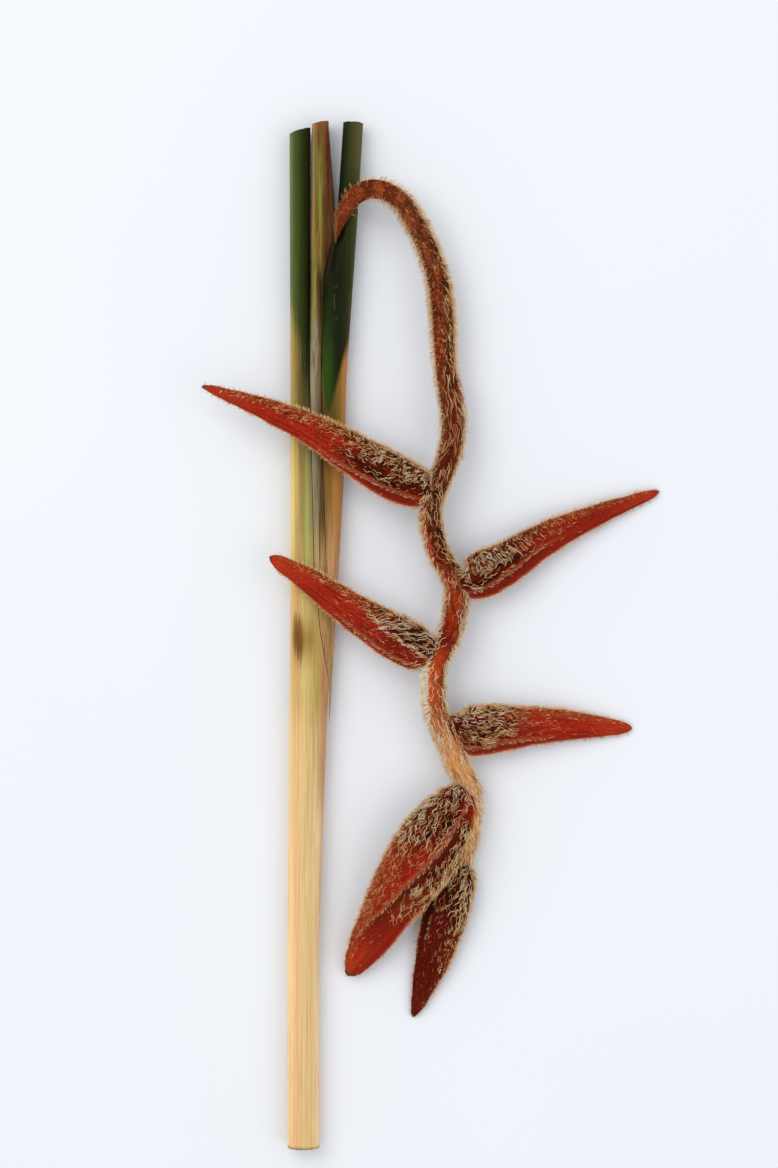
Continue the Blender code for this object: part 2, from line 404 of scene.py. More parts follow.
def add_piece(name, points, faces, material, stands_for=()):
    """Makes a smooth mesh object that rides on the root. Gives its mesh."""
    mesh = bpy.data.meshes.new(name)
    mesh.from_pydata(points.tolist(), [], faces)
    mesh.shade_smooth()
    mesh.materials.append(material)
    piece = bpy.data.objects.new(name, mesh)
    bpy.context.scene.collection.objects.link(piece)
    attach(piece, "root")
    if stands_for:
        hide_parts(*stands_for)
    return mesh


# ---------------------------------------------------------------- leaf sheaths and their stalks

LEAF_STEP = 4.5 * MM
LEAF_COLUMNS = 20
# In mm: how far the rings keep from the foot and from the sawn end, and the half width that its
# slant is measured over.
FOOT_GAP, TOP_GAP, HALF_WIDTH = 0.02, 1.5, 12
TAIL_LENGTH = 45 * MM
TAIL_SHARES = (1, 0.9, 0.8, 0.7, 0.6, 0.5, 0.4, 0.3, 0.2, 0.1)
# A sawn end, from the lip inwards: size of each ring against the lip, and how far it stands out in mm.
SAWN_RINGS = ((0.985, 0.3), (0.93, 0.15), (0.88, -0.5), (0.6, -0.8), (0.3, -0.6), (0.04, -0.6))
# Where the pith and the brown rind show on it, on the lip first.
PITH_SHOWS, RIND_SHOWS = (0, 0, 0, 1, 1, 1, 1), (0, 1, 1, 0, 0, 0, 0)
# A leaf's end face is made of the faces that look this much along the leaf, this near its end.
END_FACING, END_DEPTH = 0.6, 8 * MM


def end_plane(name, outward):
    """Middle and direction of a leaf's end face. outward is 1 for the top and -1 for the foot."""
    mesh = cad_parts[name].data
    last = max(vertex.co.y * outward for vertex in mesh.vertices)
    faces = [
        face for face in mesh.polygons
        if face.normal.y * outward > END_FACING and face.center.y * outward > last - END_DEPTH
    ]
    area = sum(face.area for face in faces)
    middle = sum((face.center * face.area for face in faces), Vector()) / area
    normal = sum((face.normal * face.area for face in faces), Vector()).normalized()
    return np.array(middle), np.array(normal)


def leaf_rings(name):
    """Rings of a leaf, front face from right to left and back face from left to right."""
    points, edges = node_shape(name)
    solid = BVHTree.FromObject(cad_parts[name], bpy.context.evaluated_depsgraph_get())
    ends = end_plane(name, -1), end_plane(name, 1)
    low = points[:, 1].min() + FOOT_GAP * MM
    top, normal = ends[1]
    slant = abs(normal[0] / normal[1]) * HALF_WIDTH * MM
    high = top[1] - slant - TOP_GAP * MM
    spread = (1 - np.cos(np.linspace(0.03, math.pi - 0.03, LEAF_COLUMNS))) / 2
    rings = []
    for along in np.linspace(low, high, int((high - low) / LEAF_STEP)):
        cut = cut_points(points, edges, np.array((0, along, 0)), np.array((0, 1.0, 0)))
        left, right = cut[:, 0].min(), cut[:, 0].max()
        front, back = [], []
        for share in spread:
            x = left + (right - left) * share
            for side, face in (1, front), (-1, back):
                hit = solid.ray_cast(Vector((x, along, side)), Vector((0, 0, -side)))[0]
                face.append((x, along, hit.z))
        rings.append(front[::-1] + back)
    return np.array(rings), ends


def add_tail(rings):
    """Draws the lower end of a leaf out to a thin point against the leaf that wraps it."""
    ring = rings[0]
    inner = np.array((ring[:, 0].min(), 0, ring[:, 2].mean()))
    tail = []
    for t in TAIL_SHARES:
        thin = 0.03 + 0.97 * (1 - t) ** 0.8
        point = inner + (ring - inner) * thin
        point[:, 1] = ring[:, 1] - TAIL_LENGTH * t
        tail.append(point)
    return np.concatenate((tail, rings))


def add_sawn_end(rings, plane, outward, rng):
    """Closes an end with a sawn face: a thin uneven rind, then spongy pith sunk a little."""
    middle, normal = plane
    lip = (rings[-1] if outward > 0 else rings[0]).copy()
    away = (lip[:, 0] - middle[0]) * normal[0] + (lip[:, 2] - middle[2]) * normal[2]
    lip[:, 1] = middle[1] - away / normal[1] - outward * rng.uniform(0, 0.5, len(lip)) * MM
    face = [lip]
    for size, depth in SAWN_RINGS:
        inner = lip.mean(axis=0) + (lip - lip.mean(axis=0)) * size
        inner[:, 1] += outward * depth * MM
        face.append(inner)
    return np.concatenate((rings, face)) if outward > 0 else np.concatenate((face[::-1], rings))


class LeafPaint(Paint):
    """Paint measured in millimetres from the middle of the cut foot: x across and y along."""

    def __init__(self, name, foot):
        super().__init__(name, 0.42, 0.05)
        x, y, z = self.place()
        self.spots = self.x, self.y, self.z = x - foot[0], y - foot[1], z
        self.fibres = self.noise((self.x, y, z), (2.0, 0.03, 2.0), 4.0, 0.65)
        self.streaks = self.noise((self.x, y, z), (0.6, 0.006, 0.6), 3.0, 0.5)
        self.mottle = self.noise((self.x, y, z), (0.08, 0.03, 0.08))
        # A strip's edge wanders by about a millimetre and a colour's end by a few centimetres.
        self.across = self.x + (self.streaks - 0.5) * 3 + (self.mottle - 0.5) * 1.5
        self.along = self.y + (self.streaks - 0.5) * 60

    def strips(self, *bands):
        """Lays colour ramps across the leaf, each with the heights between which it turns to the next."""
        self.colour = self.across.ramp(bands[0][1])
        for (heights, _), (_, stops) in zip(bands, bands[1:]):
            self.lay(self.along.ease(*heights), self.across.ramp(stops))

    def patch(self, span, heights):
        """1 on a patch, given by its span across the leaf and its heights as (start, end, soft)."""
        return self.y.band(*heights) * self.across.band(*span)

    def sawn(self, lined=0.3):
        """Adds darker and paler fibres, and a brown rind and pale spongy pith at the sawn ends."""
        veins = self.noise(self.spots, (0.95, 0.006, 0.95), 3.0, 0.55)
        self.dye(veins.ease(0.53, 0.6) * lined, 0.56, 0.44, 0.34)
        self.dye(self.streaks.ease(0.42, 0.7) * 0.3, 0.66, 0.6, 0.5)
        self.dye(self.fibres.ease(0.48, 0.7), 1.16, 1.15, 1.12)
        self.lay(self.painted("rind") * 0.7, 112, 84, 50)
        sockets = {"Vector": self.spot(self.x, self.z), "Scale": 0.55}
        cells = self.node("ShaderNodeTexVoronoi", inputs=sockets)
        cut = self.painted("cut")
        self.lay(cut, cells.turn(0.1, 0.75, (96, 92, 52), (196, 186, 128)))
        return self.finish(self.fibres * 0.5 + cells * cut * 1.2, 0.35)


def left_leaf_paint(foot):
    """Cream sheath below, yellow, olive and lime strips where it opens, dark green stalk."""
    paint = LeafPaint("left_leaf", foot)
    x, y, streaks = paint.across, paint.y, paint.streaks
    # The lower sheath, lighter towards its right edge with a painted reflection.
    pale = (
        (-15.5, 252, 222, 166), (-11, 242, 200, 142), (-5, 229, 187, 132), (1, 223, 191, 135),
        (7, 216, 186, 128), (11, 234, 200, 146), (15, 246, 212, 166), (18.5, 238, 190, 146),
    )
    cream = (
        (-15.5, 252, 222, 162), (-11, 240, 197, 138), (-5, 229, 187, 131), (1, 222, 190, 132),
        (8, 211, 180, 120), (14, 208, 174, 124), (18, 200, 156, 112),
    )
    tinted = (
        (-15.5, 246, 212, 138), (-11, 228, 186, 128), (-6, 206, 164, 104), (0, 212, 186, 120),
        (6, 203, 179, 112), (11, 190, 166, 94), (16, 182, 150, 84), (20, 184, 134, 92),
    )
    opened = (
        (-15.5, 246, 212, 126), (-11.5, 246, 212, 130), (-8, 220, 190, 120), (-4.5, 180, 154, 88),
        (-1, 152, 132, 76), (3.5, 158, 154, 86), (6, 146, 138, 82), (9, 126, 116, 70),
    )
    olive = (
        (-15.5, 214, 178, 112), (-10, 172, 146, 84), (-6, 128, 108, 56), (-2, 88, 78, 34),
        (3, 48, 42, 20), (9, 40, 34, 16),
    )
    # The stalk's green, light grey-green at its left edge and darkest at its right: painted highlight and
    # shade over its green.
    green = (
        (-15.5, 130, 134, 98), (-12, 104, 110, 62), (-8.5, 70, 86, 38), (-3.5, 46, 56, 16),
        (1, 36, 42, 10), (7, 24, 22, 6),
    )
    paint.strips(
        ((300, 400), pale), ((405, 460), cream), ((515, 640), tinted), ((640, 775), opened), (None, olive)
    )
    climb = paint.along + x * 4.4
    paint.lay(climb.ease(766, 814), x.ramp(green))
    paint.lay(paint.patch((1.5, 6, 2), (560, 630, 40)) * 0.45, 168, 176, 88)
    wander = (paint.mottle - 0.5) * 30 + (streaks - 0.5) * 50
    across, along = (x + 5 + (y - 512) * 0.06) / 5.4, (y + wander - 512) / 22
    stain = 1 - (across * across + along * along).ease(0.1, 1.7)
    front = paint.z.ease(12, 20)
    # A wide darker patch across the front: partly a stain, partly painted shadow of the bract that lies
    # over the sheath there.
    shadow_and_stain = paint.patch((-9, 12, 5), (494, 528, 24)) * front
    paint.dye(shadow_and_stain * 0.95, 0.48, 0.38, 0.22)
    paint.lay(stain * front * 0.85, 112, 68, 14)
    pink = (1 - y.ease(20, 190)) * paint.mottle.ease(0.4, 0.7)
    paint.lay(pink * 0.35, 222, 158, 112)
    return paint.sawn()


def middle_leaf_paint(foot):
    """Grey-purple strip in the rolled sheath, lime and tan stalk with brown margins."""
    paint = LeafPaint("middle_leaf", foot)
    x, y = paint.across, paint.y
    pale = ((4, 206, 178, 112), (12, 186, 158, 98), (20, 178, 142, 92))
    strip = (
        (5, 112, 102, 64), (7, 138, 134, 98), (10, 144, 136, 106), (13.5, 138, 122, 100),
        (16, 110, 92, 60), (18, 80, 62, 34), (20, 92, 68, 36),
    )
    split = (
        (5, 122, 120, 66), (9, 150, 148, 80), (12, 142, 132, 70), (14, 100, 70, 32), (17, 70, 46, 22),
        (20, 104, 88, 66), (24, 84, 66, 46),
    )
    stalk = (
        (4, 190, 176, 124), (8, 194, 168, 108), (11, 156, 122, 64), (14, 118, 96, 42), (18, 130, 120, 50),
        (20, 104, 70, 30), (23, 80, 50, 26), (27, 122, 82, 52),
    )
    top = (
        (4, 184, 172, 124), (9, 172, 152, 100), (13, 134, 104, 57), (16, 98, 72, 34), (19, 100, 90, 36),
        (22, 118, 70, 36), (24.5, 82, 42, 22), (28, 122, 78, 48),
    )
    paint.strips(
        ((572, 642), pale), ((812, 850), strip), ((862, 905), split), ((925, 985), stalk), (None, top)
    )
    lime = paint.patch((7, 11, 2), (836, 900, 16)) + paint.patch((14.5, 18, 1.5), (935, 1000, 14))
    paint.lay(lime * 0.65, 124, 128, 52)
    tip = y.ease(1008, 1034) * paint.mottle.ease(0.35, 0.65)
    paint.lay(tip * 0.6, 148, 88, 52)
    frayed = y.band(905, 960, 12) * (x - (y - 905) * 0.04).ease(26, 29)
    paint.lay(frayed * 0.8, 132, 98, 70)
    return paint.sawn(0.8)


def right_leaf_paint(foot):
    """Ochre sheath with a brown seam, and a dark green stalk that narrows down to a bright point."""
    paint = LeafPaint("right_leaf", foot)
    x, y = paint.across, paint.y
    low = (
        (12, 170, 128, 80), (18, 186, 140, 90), (24, 214, 168, 118), (30, 206, 158, 112),
        (36, 182, 134, 96),
    )
    ochre = (
        (12, 78, 56, 32), (16, 96, 72, 40), (20, 116, 90, 44), (24, 124, 94, 42), (28, 144, 104, 48),
        (31, 176, 124, 62), (37, 180, 128, 72), (42, 190, 124, 74),
    )
    shaded = (
        (12, 78, 56, 32), (16, 88, 62, 32), (20, 92, 72, 32), (24, 96, 78, 32), (28, 94, 78, 28),
        (32, 100, 82, 28), (36, 132, 98, 40), (40, 180, 126, 64), (44, 190, 124, 74),
    )
    green = (
        (12, 66, 70, 30), (19, 44, 64, 12), (25, 32, 50, 8), (31, 22, 32, 6), (37, 24, 30, 10),
        (43, 48, 42, 20), (47, 74, 66, 36),
    )
    stalk = (
        (24, 40, 42, 20), (31, 16, 20, 5), (36, 20, 26, 7), (41, 30, 36, 10), (46, 42, 50, 16),
        (51, 66, 68, 32), (56, 88, 84, 46),
    )
    paint.strips(((555, 655), low), ((690, 735), ochre), (None, shaded))
    height = y + (paint.streaks - 0.5) * 14
    left_line, right_line = 24 - (height - 735) * 0.13, 27 + (height - 740) * 0.27
    inside = (x - left_line).ease(-1.5, 1.5) * (1 - (x - right_line).ease(-3, 2.5))
    leaf = paint.mix(y.ease(820, 880), x.ramp(green), x.ramp(stalk))
    bright = paint.patch((20, 31, 4), (735, 800, 24))
    leaf = paint.mix(bright * 0.4, leaf, tone(54, 88, 22))
    paint.lay(inside * height.ease(722, 742), leaf)
    margin = (1 - (x - left_line).ease(-2.5, 0.5)) * y.band(700, 850, 40)
    paint.lay(margin * 0.8, 86, 58, 30)
    diagonal = (x - (y - 846) * 0.22).band(13, 17.5, 1.5) * y.band(848, 930, 10)
    paint.lay(y.ease(846, 862), leaf)
    paint.lay(diagonal * 0.75, 86, 64, 40)
    scuff = paint.mottle.ease(0.58, 0.66) * paint.patch((31, 35, 1), (836, 880, 10))
    paint.lay(scuff * 0.35, 112, 112, 82)
    return paint.sawn()


def make_leaves(foot):
    """Each leaf's skin, sawn a little aslant at the top. The outer one is sawn square at the foot too."""
    looks = (
        (LEFT_LEAF, left_leaf_paint, "outer_sheath"),
        (MIDDLE_LEAF, middle_leaf_paint, "middle_stalk"),
        (RIGHT_LEAF, right_leaf_paint, "right_stalk"),
    )
    rng = np.random.default_rng(SEED)
    for name, paint, slot in looks:
        outer = name == LEFT_LEAF
        rings, (foot_plane, top_plane) = leaf_rings(name)
        if not outer:
            rings = add_tail(rings)
        plain = [0] * len(rings)
        rings = add_sawn_end(rings, top_plane, 1, rng)
        if outer:
            rings = add_sawn_end(rings, foot_plane, -1, rng)
        carried = {}
        for label, shows in ("cut", PITH_SHOWS), ("rind", RIND_SHOWS):
            at_foot = shows[::-1] if outer else ()
            carried[label] = np.array((*at_foot, *plain, *shows))[:, None]
        skin_object(name + "_skin", Skin(rings), paint(foot), (name,), carried)


# ---------------------------------------------------------------- flower stalk

STALK_ROWS, STALK_COLUMNS = 300, 36
MOUTH_ROWS, MOUTH_COLUMNS = 15, 14
# The end in the sheath is the lowest part of the leftmost part. The stalk leaves the sheath this way.
END_WIDTH, END_HEIGHT, WAY_OUT = 16 * MM, 12 * MM, (0.3, 1, 0.55)


def stalk_line():
    """The middle line of the flower stalk and its radius, from the sheath to the last bract."""
    points, _ = node_shape(STALK)
    left_end = points[points[:, 0] < points[:, 0].min() + END_WIDTH]
    low_end = left_end[left_end[:, 1] < left_end[:, 1].min() + END_HEIGHT]
    start = low_end.mean(axis=0) + np.array((0.3, 2, 1)) * MM
    middles, wide, thick = follow(STALK, start, unit(np.array(WAY_OUT)), 20 * MM)
    line, (radius,) = resample(middles, [(wide + thick) / 2], STALK_ROWS)
    return soften(line, 6), soften(radius, 6)


def ring_axes(line):
    """Directions ahead, across and up at each point of a line that keeps near the table."""
    ahead = unit(np.gradient(line, axis=0))
    across = unit(np.cross(ahead, UP))
    return ahead, across, np.cross(across, ahead)


def make_stalk(line, radius):
    """A slightly ribbed stalk, drawn to a point where it leaves the sheath."""
    _, across, up = ring_axes(line)
    turn = np.linspace(0, 2 * math.pi, STALK_COLUMNS, endpoint=False)
    share = np.linspace(0, 1, len(line))[:, None]
    ribs = 1 + 0.03 * np.sin(9 * turn + share * 9) + 0.02 * np.sin(5 * turn - share * 21)
    drawn = 0.06 + 0.94 * ease(share, -0.012, 0.042)
    reach = radius[:, None] * ribs * drawn
    skin = Skin(rings_round(line, across, up, reach * np.cos(turn), reach * np.sin(turn)))
    skin.share = share
    skin.wool = stalk_cover(skin)
    carried = {"wool": skin.wool, "side": skin.normal[..., 0]}
    skin_object("flower_stalk_skin", skin, stalk_paint(), (STALK,), carried)
    return skin


# How thickly wool grows on the left, the face and the right of the stalk, by share along it.
STALK_WOOL = (
    (0.0, 0.0, 0.0, 0.0), (0.09, 0.05, 0.0, 0.1), (0.18, 0.05, 0.05, 0.6), (0.3, 0.0, 0.2, 0.9),
    (0.338, 0.0, 0.3, 0.95), (0.35, 0.35, 0.85, 0.7), (0.44, 0.5, 0.85, 0.7), (0.5, 0.8, 0.7, 0.6),
    (0.53, 0.3, 0.35, 0.8), (0.57, 0.05, 0.55, 0.9), (0.61, 0.25, 0.5, 1.0), (0.66, 0.1, 0.05, 0.5),
    (0.7, 0.1, 0.1, 0.0), (0.74, 0.05, 0.3, 0.15), (0.78, 0.1, 0.3, 0.4), (0.82, 0.9, 0.9, 0.5),
    (0.86, 0.5, 0.6, 0.7), (0.9, 0.7, 0.7, 0.8), (1.0, 0.8, 0.8, 0.8),
)
# Skin of the stalk on its left, its face and its right, by share.
LEFT_SKIN = (
    (0.0, 112, 56, 28), (0.06, 122, 58, 32), (0.14, 134, 70, 38), (0.22, 112, 50, 24),
    (0.27, 112, 40, 18), (0.335, 130, 42, 18), (0.36, 112, 56, 32), (0.5, 112, 50, 26),
    (0.54, 182, 74, 36), (0.58, 160, 46, 20), (0.63, 172, 66, 28), (0.67, 134, 44, 18),
    (0.71, 150, 52, 24), (0.735, 250, 138, 60), (0.78, 244, 126, 54), (0.83, 228, 154, 96),
    (0.9, 196, 130, 76), (1.0, 176, 84, 44),
)
FACE_SKIN = (
    (0.0, 108, 42, 22), (0.06, 124, 54, 30), (0.11, 134, 60, 31), (0.18, 112, 52, 25), (0.3, 106, 42, 22),
    (0.335, 112, 40, 20), (0.36, 104, 44, 24), (0.44, 104, 42, 22), (0.52, 84, 30, 16),
    (0.58, 104, 36, 18), (0.62, 150, 56, 26), (0.67, 150, 46, 20), (0.705, 108, 28, 12),
    (0.74, 204, 78, 34), (0.78, 190, 80, 38), (0.82, 214, 140, 84), (0.86, 222, 154, 92),
    (0.94, 204, 144, 90), (1.0, 212, 96, 48),
)
RIGHT_SKIN = (
    (0.0, 100, 44, 24), (0.1, 126, 64, 34), (0.16, 126, 66, 36), (0.3, 108, 52, 26), (0.5, 112, 56, 30),
    (0.58, 96, 50, 30), (0.66, 168, 86, 46), (0.7, 122, 38, 18), (0.75, 154, 68, 42),
    (0.82, 184, 112, 66), (0.88, 204, 150, 98), (0.95, 214, 158, 100), (1.0, 212, 108, 58),
)


def stalk_cover(skin):
    """How thickly wool grows over the stalk: its sides and face by share, patchy below the long bend."""
    share, to_right = skin.share, skin.normal[..., 0]
    places, *sides = zip(*STALK_WOOL)
    left, face, right = (np.interp(share, places, side) for side in sides)
    cover = face + (left - face) * ease(-to_right, 0.1, 0.7) + (right - face) * ease(to_right, 0.1, 0.7)
    patchy = 0.25 * ripple(skin.rings, 14 * MM, 5) * ease(share, 0.2, 0.4)
    return np.clip(cover + patchy * (cover > 0.02), 0.0, 1.0)


def stalk_paint():
    """Brown skin at the arch, dark red below it and golden orange at the end, with painted shade under
    wool.
    """
    paint = Paint("stalk_skin", 0.65, 0.0)
    spots = paint.place()
    along, around = paint.lie()
    side = paint.painted("side")
    streaks = paint.noise((along, around), (60, 14), 4.0)
    patches = paint.noise(spots, (0.09, 0.05, 0.09))
    specks = paint.noise(spots, (0.3, 0.3, 0.3))
    place = along + (streaks - 0.5) * 0.03
    paint.colour = place.ramp(FACE_SKIN)
    paint.lay(side.ease(-0.1, -0.75), place.ramp(LEFT_SKIN))
    paint.lay(side.ease(0.1, 0.75), place.ramp(RIGHT_SKIN))
    paint.dye(streaks.ease(0.46, 0.62) * 0.7, 0.55, 0.36, 0.3)
    paint.dye(streaks.ease(0.48, 0.36) * 0.5, 1.25, 1.16, 1.05)
    arch = 1 - along.ease(0.3, 0.42)
    rough = 0.3 + 0.3 * along.ease(0.07, 0.13)
    paint.lay(arch * specks.ease(0.5, 0.62) * rough, 174, 96, 58)
    blotch = arch * along.ease(0.03, 0.08) * patches.ease(0.47, 0.55)
    paint.lay(blotch * 0.7, 66, 28, 13)
    shade = paint.painted("wool") * (1 - 0.75 * along.ease(0.79, 0.84))
    shade = shade * (1 - 0.35 * along.band(0.34, 0.5, 0.03))
    paint.lay(shade * 0.75, 42, 13, 5)
    return paint.finish(streaks, 0.5)


def make_sheath_mouth(line, radius):
    """The frayed edge of the middle sheath, folded up against the stalk where it comes out."""
    ahead, across, up = (axes[:MOUTH_ROWS] for axes in ring_axes(line))
    line, radius = line[:MOUTH_ROWS], radius[:MOUTH_ROWS]
    share = np.linspace(0, 1, MOUTH_ROWS)
    spine = line - across * (radius * (0.25 + 0.68 * ease(share, 0, 0.8)))[:, None]
    spine = spine + up * (radius * 0.25)[:, None] - ahead * (7 * MM * (1 - share))[:, None]
    turn = np.linspace(0, 2 * math.pi, MOUTH_COLUMNS, endpoint=False)
    swell = np.clip(1 - (2 * share - 1) ** 2, 0.02, 1) ** 0.7
    ragged = 1 + 0.3 * ripple(spine, 6 * MM, 9)
    wide, thick = 3.4 * MM * swell * ragged, 0.8 * MM * swell
    tilt = unit(across * 0.8 + up * 0.6)
    side = np.cross(tilt, ahead)
    rings = rings_round(spine, tilt, side, wide[:, None] * np.cos(turn), thick[:, None] * np.sin(turn))
    skin_object("sheath_mouth", Skin(rings), mouth_paint())


def mouth_paint():
    """Dry brown fibres."""
    paint = Paint("sheath_mouth", 0.7)
    along, around = paint.lie()
    fibres = paint.noise((along, around), (3, 22), 4.0)
    paint.colour = fibres.turn(0.35, 0.65, (78, 44, 24), (142, 92, 54))
    return paint.finish(fibres, 0.6)


# ---------------------------------------------------------------- bracts

BRACT_ROWS = 104
# Columns round a bract: down the flank from the keel to the near lip, over the ledge under it,
# across the far lip to the far edge, and along the back.
FLANK, LIP, BACK = 26, 14, 22
LEDGE_TURNS, LEDGE_DEPTHS, LEDGE_SHADE = np.radians((0.6, 2.2)), (0.5, 1.0), (0.6, 1.0)

# Places on a bract are given by share, 0 at the base and 1 at the tip, and by u across it,
# 1 at the woolly keel and -1 at the far edge.
# keel: the way the keel faces, up the table by default. lip: where the near lip ends across the
# front, by share. step: how far the far lip lies below it, in mm. fade: the share where they meet.
# keel_wool, flank_wool: the share that the wool reaches. comb: how the keel's wool lies,
# 0 along the bract and 1 straight down from the keel. shag: hairs to a square mm on the keel near the
# base and how long they are; straight: they lie side by side like the teeth of a comb. golden: how thick
# the short golden shag is farther out, and golden_from: the u where it starts. wool: hairs to a square mm
# on the flank. far_wool: the share that wool reaches on the far lip. rim_wool: the share that a golden
# fringe reaches along the far edge. sprinkled: the share that sparse rosy hairs reach. ridge: a line of
# cream hairs over the flank, by share and u. hollows: creases, sunk in and darkened with painted shade,
# by share, u, length and height. inside: the u from which the far part gets the painted shade of the far
# lip. dusk: how much painted shade darkens the red half way out.
# blunt: how much fuller, more ragged and earlier dried the end is.
NO_REACH = 0.01
Look = namedtuple(
    "Look",
    "lip step fade keel_wool flank_wool comb shag golden wool "
    "keel hollows straight golden_from far_wool rim_wool sprinkled ridge inside dusk blunt",
    defaults=((0, 1, 0), (), False, 0.35, NO_REACH, NO_REACH, 0.7, (), 1, 0, 0),
)
BRACTS = {
    "bract_1": Look(
        lip=((0, -0.45), (0.15, -0.55), (0.3, -0.66), (0.45, -0.8), (1, -0.9)),
        step=2.8, fade=0.56, keel_wool=0.7, flank_wool=0.5, comb=0.55, shag=(0.24, 1.0), golden=1.35,
        wool=0.026, golden_from=0.05,
        hollows=((0.22, -0.3, 0.09, 0.14), (0.36, -0.2, 0.07, 0.1), (0.3, 0.25, 0.05, 0.1)),
    ),
    "bract_2": Look(
        lip=((0, -0.78), (0.15, -0.52), (0.4, -0.33), (0.55, -0.4), (1, -0.5)),
        step=2.6, fade=0.56, keel_wool=0.62, flank_wool=0.42, comb=0.95, shag=(0.2, 1.2), golden=0.9,
        wool=0.03, straight=True, dusk=0.6,
        hollows=((0.22, 0.15, 0.1, 0.22), (0.3, -0.05, 0.08, 0.14), (0.12, -0.3, 0.06, 0.14)),
    ),
    "bract_3": Look(
        lip=((0, -0.7), (0.2, -0.8), (0.5, -0.72), (1, -0.85)), step=2.2, fade=0.62,
        keel_wool=0.62, flank_wool=0.46, comb=0.4, shag=(0.095, 1.9), golden=0.9, wool=0.03,
        straight=True, hollows=((0.14, 0.45, 0.1, 0.35), (0.1, 0.1, 0.06, 0.1)),
        ridge=((0, -0.1), (0.1, 0.0), (0.25, 0.12), (0.42, 0.45)),
    ),
    "bract_4": Look(
        lip=((0, -0.6), (0.2, -0.7), (0.35, -0.58), (0.5, -0.7), (1, -0.85)), step=2.4,
        fade=0.62, keel_wool=0.55, flank_wool=0.5, comb=0.3, shag=(0.11, 1.7), golden=0.45, wool=0.095,
        hollows=((0.24, 0.0, 0.07, 0.18), (0.33, 0.25, 0.06, 0.14), (0.12, 0.3, 0.06, 0.12)),
    ),
    "bract_5": Look(
        keel=(-1, 0.4, 0),
        lip=((0, -0.38), (0.3, -0.3), (0.42, -0.2), (0.62, 0.15), (0.8, 0.72), (1, 0.9)), step=3.2,
        fade=0.86, keel_wool=0.52, flank_wool=0.42, comb=0.25, shag=(0.11, 1.7), golden=0.6, wool=0.08,
        hollows=((0.2, 0.0, 0.06, 0.2), (0.28, 0.3, 0.07, 0.12), (0.16, -0.15, 0.06, 0.1)),
        far_wool=0.66, rim_wool=0.62, sprinkled=0.95, inside=-0.05, dusk=0.4, blunt=0.17,
    ),
    "bract_6": Look(
        keel=(1, 0.2, 0), lip=((0, -0.5), (1, -0.7)), step=2.0, fade=0.6, keel_wool=0.7, flank_wool=0.4,
        comb=0.2, shag=(0.14, 1.6), golden=0.4, wool=0.05,
    ),
}


def bract_walk(name, stalk):
    """A bract's middle line from base to tip, with half widths and half thicknesses."""
    points, _ = node_shape(name)
    near = KDTree(len(stalk))
    for i, spot in enumerate(stalk):
        near.insert(spot, i)
    near.balance()
    away = [near.find(point)[2] for point in points]
    tip = points[int(np.argmax(away))]
    ahead = unit(points.mean(axis=0) - tip)
    middles, wide, thick = follow(name, tip + ahead * 1.2 * MM, ahead, 60 * MM, turning=0.25)
    line, spans = resample(middles[::-1], [wide[::-1], thick[::-1]], BRACT_ROWS)
    return soften(line, 8), *(soften(span, 3) for span in spans)


def round_off(look, share):
    """How wide and thick a bract is at each row, against its solid: rounded at the base and the tip."""
    near_end = np.minimum(share / 0.07, (1 - share) / 0.022)
    rounded = np.sqrt(1 - np.clip(1 - near_end, 0, 0.98) ** 2)
    finer = (0.3 - look.blunt) * ease(share, 0.93, 1)
    return rounded * (1 + look.blunt * ease(share, 0.65, 0.9) - finer)


def hollows_in(look, share, u, front):
    """How deep each point lies in the creases, from 0 to 1. It sinks the skin and sets how much painted
    shade darkens it.
    """
    hollow = np.zeros_like(u)
    for place, height, long, high in look.hollows:
        distance = ((share - place) / long) ** 2 + ((u - height) / high) ** 2
        hollow = np.maximum(hollow, np.exp(-(distance**1.5)) * front)
    return hollow


def bract_skin(name, look, stalk):
    """A folded bract: a full flank down from the keel, a near lip, and a far lip set lower."""
    line, wide, thick = bract_walk(name, stalk)
    share = np.linspace(0, 1, BRACT_ROWS)[:, None]
    rounded = round_off(look, share[:, 0])
    wide, thick = wide * rounded, thick * rounded
    _, across, up = ring_axes(line)
    across = across * np.sign((across * np.array(look.keel, float)).sum(axis=1))[:, None]
    lip = along_table(look.lip, share)
    opened = between(share, 0.03, 0.1, look.fade - 0.2, look.fade)
    turns, inner, slot = bract_columns(np.arccos(lip), opened)
    u, v = np.cos(turns), np.sin(turns)
    front = v > -0.001
    hollow = hollows_in(look, share, u, front)
    # The solid is an egg in section, a little fuller towards the keel.
    rise = thick[:, None] * (1 + 0.2 * u) / 1.02 * v
    rise = rise - inner * np.minimum(look.step * MM, 0.4 * thick)[:, None]
    rings = rings_round(line, across, up, wide[:, None] * u, rise)
    creases = 0.4 * ripple(rings, 26 * MM, 3) + 0.2 * ripple(rings, 9 * MM, 4)
    veins = 0.2 * np.sin(turns * 11 + 2 * np.sin(share * 9)) * ease(share, 0.05, 0.2)
    tip = (0.5 + 4 * look.blunt) * ripple(rings, 4 * MM, 8) * ease(share, 0.93 - look.blunt / 2, 1)
    rings = rings + Skin(rings).normal * ((creases + veins + tip - 1.8 * hollow) * MM)[..., None]
    rings[..., 2] = np.maximum(rings[..., 2], 0.0)
    skin = Skin(rings)
    skin.across = skin.around * np.where(front, 1.0, -1.0)[..., None]
    skin.share, skin.u, skin.v, skin.front, skin.lip = share, u, v, front, lip
    # dark: how much painted shade darkens the creases and the slot under the near lip.
    skin.opened, skin.inner, skin.dark = opened, inner, np.maximum(hollow, slot)
    return skin


